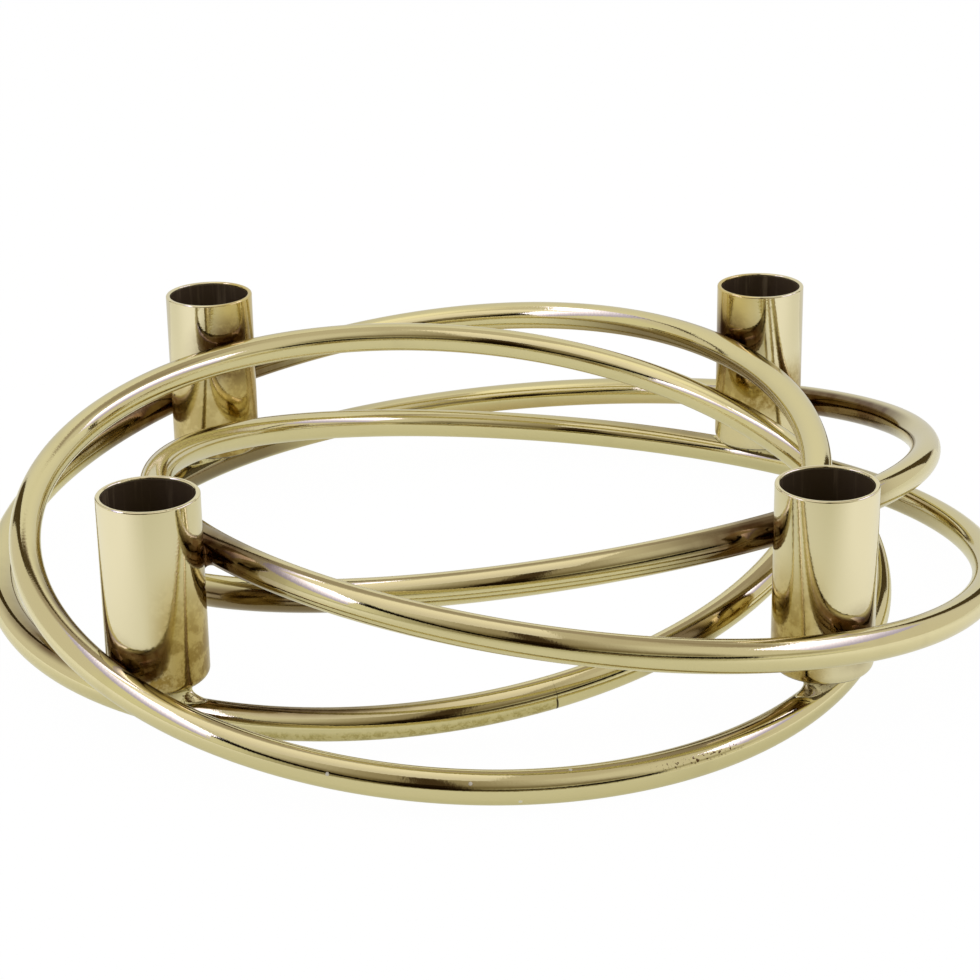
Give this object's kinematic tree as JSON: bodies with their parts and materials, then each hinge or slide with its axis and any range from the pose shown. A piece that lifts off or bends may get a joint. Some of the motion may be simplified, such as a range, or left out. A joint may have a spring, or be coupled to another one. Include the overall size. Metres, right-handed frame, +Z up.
{
  "type": "advent candle holder",
  "caption": "Low brass candle holder: upright round candle cups soldered into a ring of interlaced, tilted rod hoops that also form its feet.",
  "frame": {"origin": "on the floor, midway between the four candle cups", "axes": "+Z up along the candles, +X to the right and +Y to the back as in the picture"},
  "size_m": [0.268, 0.2671, 0.0574],
  "materials": {
    "cup_brass": "polished, tarnished brown inside and near the foot",
    "hoop_brass": "polished, with fine pits and scratches",
    "solder": "hard solder, dull and slightly pitted"
  },
  "bodies": {
    "root": {"candle_cup_front_right": "cup_brass", "hoop_front_right": "hoop_brass", "solder_base_front_right": "solder", "solder_outer_front_right": "solder", "solder_inner_front_right": "solder", "candle_cup_back_right": "cup_brass", "hoop_back_right": "hoop_brass", "solder_base_back_right": "solder", "solder_outer_back_right": "solder", "solder_inner_back_right": "solder", "candle_cup_back_left": "cup_brass", "hoop_back_left": "hoop_brass", "solder_base_back_left": "solder", "solder_outer_back_left": "solder", "solder_inner_back_left": "solder", "candle_cup_front_left": "cup_brass", "hoop_front_left": "hoop_brass", "solder_base_front_left": "solder", "solder_outer_front_left": "solder", "solder_inner_front_left": "solder", "hoop_seam_front_left": "solder"}
  },
  "joints": []
}
